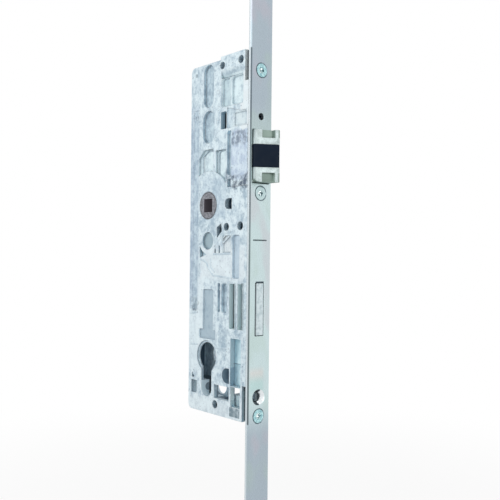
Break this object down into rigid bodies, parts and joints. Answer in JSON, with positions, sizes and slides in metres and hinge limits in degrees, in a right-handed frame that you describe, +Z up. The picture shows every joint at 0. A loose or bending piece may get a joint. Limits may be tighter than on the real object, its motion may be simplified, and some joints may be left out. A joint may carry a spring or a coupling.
{
  "type": "mortice door lock",
  "caption": "Mortice door lock with a long narrow faceplate, a sprung latch bolt, a deadbolt driven by a rack and pinion, and couplings for further locking points.",
  "frame": {"origin": "on the front of the faceplate, at the middle of its width and the height of the spindle", "axes": "+X out of the door's edge along the bolts, +Y across the lock's thickness away from the case's open side, +Z up along the faceplate"},
  "size_m": [0.067, 0.016, 0.355],
  "materials": {
    "case_zinc": "cast zinc, satin",
    "plated_steel": "bright zinc plated",
    "screw_steel": "clear zinc plated",
    "latch_metal": "nickel plated casting",
    "black_plastic": "moulded, matt",
    "hub_steel": "sintered steel",
    "inner_steel": "rolled steel, oiled",
    "bolt_steel": "ground and plated",
    "spring_wire": "drawn wire"
  },
  "bodies": {
    "root": {"lock_case": "case_zinc", "case_cover": "case_zinc", "faceplate": "plated_steel", "faceplate_screws": "screw_steel", "case_screws": "screw_steel", "guard_plate": "inner_steel", "gear_pin": "inner_steel", "detent_spring": "spring_wire", "follower_spring": "spring_wire", "latch_spring": "spring_wire"},
    "follower": {"follower": "hub_steel"},
    "latch": {"latch_bolt": "latch_metal", "latch_insert": "black_plastic", "latch_shank": "inner_steel", "latch_cross_pin": "inner_steel", "latch_guide_pin": "inner_steel"},
    "yoke": {"return_yoke": "inner_steel"},
    "drive": {"drive_slide": "inner_steel", "upper_coupling": "inner_steel", "lower_coupling": "inner_steel", "coupling_rivets": "inner_steel"},
    "gear": {"key_gear": "hub_steel"},
    "bolt": {"deadbolt": "bolt_steel", "deadbolt_pin": "inner_steel"}
  },
  "joints": [
    {"name": "latch_slide", "type": "slide", "parent": "root", "child": "latch", "axis": [-1, 0, 0], "range_m": [0, 0.009], "stiffness_N_per_m": 300, "springref_m": -0.02, "deforming": ["latch_spring"]},
    {"name": "follower_turn", "type": "hinge", "parent": "root", "child": "follower", "pos_m": [-0.04, 0, 0], "axis": [0, -1, 0], "range_deg": [0, 38.2]},
    {"name": "yoke_lift", "type": "slide", "parent": "root", "child": "yoke", "axis": [0, 0, 1], "range_m": [0, 0.0066], "deforming": ["follower_spring"]},
    {"name": "drive_travel", "type": "slide", "parent": "root", "child": "drive", "axis": [0, 0, 1], "range_m": [0, 0.0175]},
    {"name": "gear_turn", "type": "hinge", "parent": "root", "child": "gear", "pos_m": [-0.01675, 0, -0.087], "axis": [0, -1, 0], "range_deg": [0, 116]},
    {"name": "deadbolt_throw", "type": "slide", "parent": "root", "child": "bolt", "axis": [1, 0, 0], "range_m": [0, 0.0201]}
  ],
  "couplings": [
    {"joint": "follower_turn", "follows": "latch_slide", "rad_per_m": 73.692},
    {"joint": "yoke_lift", "follows": "latch_slide", "ratio": 0.70901},
    {"joint": "gear_turn", "follows": "drive_travel", "rad_per_m": 114.29},
    {"joint": "deadbolt_throw", "follows": "drive_travel", "ratio": 1.1429}
  ]
}
